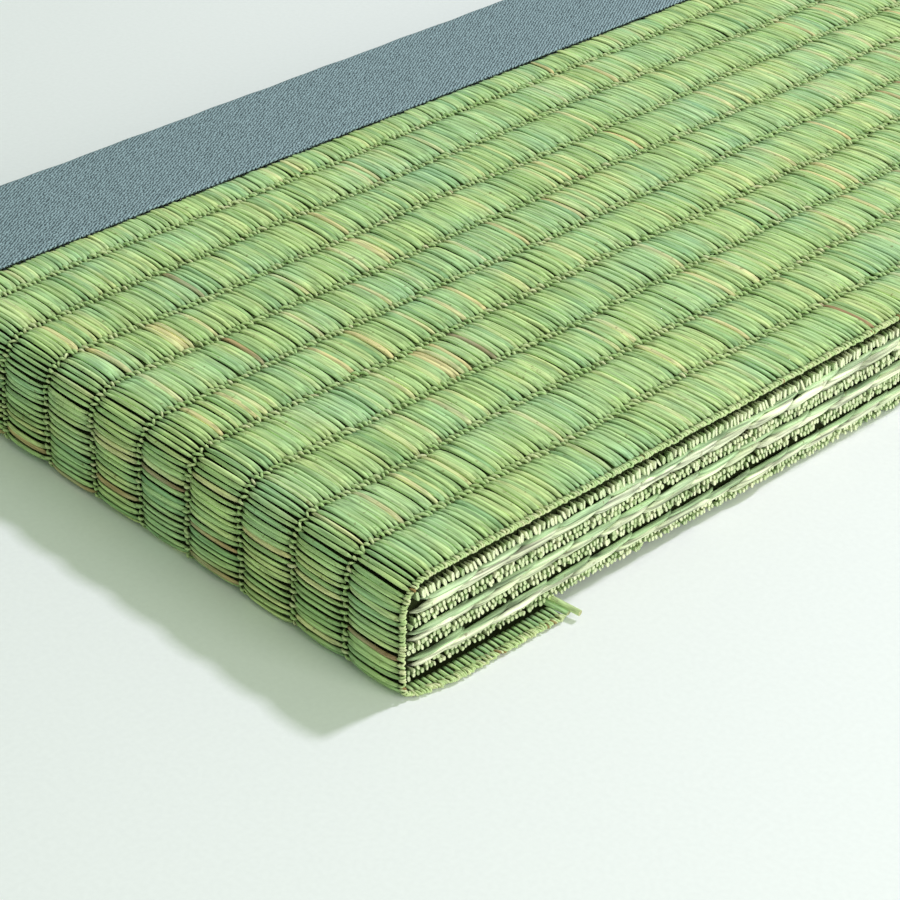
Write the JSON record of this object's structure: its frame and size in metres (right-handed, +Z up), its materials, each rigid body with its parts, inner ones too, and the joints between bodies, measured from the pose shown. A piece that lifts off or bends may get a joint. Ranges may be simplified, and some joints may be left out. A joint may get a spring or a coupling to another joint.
{
  "type": "tatami mat",
  "caption": "Small thick rush floor mat: a ribbed woven cover folded round both ends, a cloth border along one long edge, and a stacked rush core open on the other.",
  "frame": {"origin": "centre of the bounding box at the floor", "axes": "+Z up out of the mat's top face; +Y along the long bound edge, away from the folded end that faces the viewer; +X across to the open edge where the core shows"},
  "size_m": [0.177, 0.3, 0.0249],
  "materials": {
    "cover_rush": "woven dried rush with a soft sheen, green and straw yellow mixed",
    "border_cloth": "matt grey-blue ribbed cloth",
    "core_cross_rush": "rushes laid across the mat, their cut ends pale and pithy",
    "core_long_rush": "rushes laid along the mat in plaited strands"
  },
  "bodies": {
    "root": {"cover": "cover_rush", "border": "border_cloth", "core_layer_1": "core_cross_rush", "core_layer_2": "core_long_rush", "core_layer_3": "core_cross_rush", "core_layer_4": "core_long_rush", "core_layer_5": "core_cross_rush", "core_layer_6": "core_long_rush", "core_layer_7": "core_cross_rush"}
  },
  "joints": []
}
